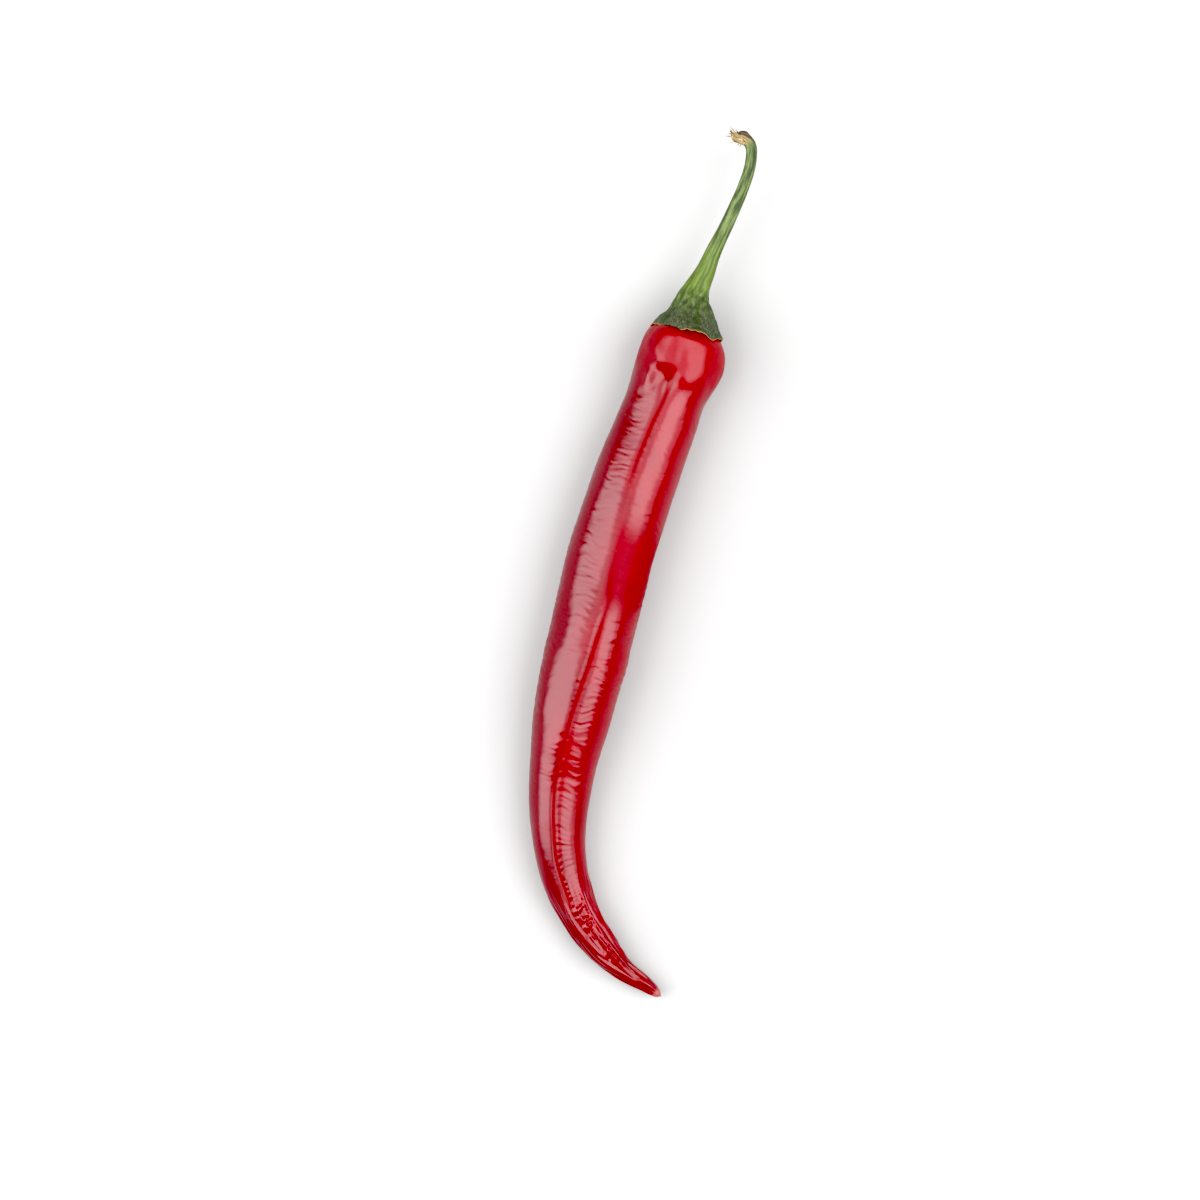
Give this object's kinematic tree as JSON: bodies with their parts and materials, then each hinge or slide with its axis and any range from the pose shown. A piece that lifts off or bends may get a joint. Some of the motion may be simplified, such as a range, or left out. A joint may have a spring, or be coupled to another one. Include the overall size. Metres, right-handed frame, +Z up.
{
  "type": "chilli pepper",
  "caption": "Long red chilli pepper with a curved, tapering tip, a green calyx and a hooked stalk, lying on its side as picked.",
  "frame": {"origin": "on the surface that the pepper lies on, under the middle of its bounding box", "axes": "+Z up from the surface; +Y runs from the pod's tip towards the stalk, along the pepper's longest side; +X is the side that the stalk and the tip both bend towards"},
  "size_m": [0.0478, 0.1812, 0.0171],
  "materials": {
    "pod_skin": "glossy waxy fruit skin, deep red",
    "stalk_green": "matte ribbed plant stalk, green"
  },
  "bodies": {
    "root": {"pod": "pod_skin", "stalk": "stalk_green"}
  },
  "joints": []
}
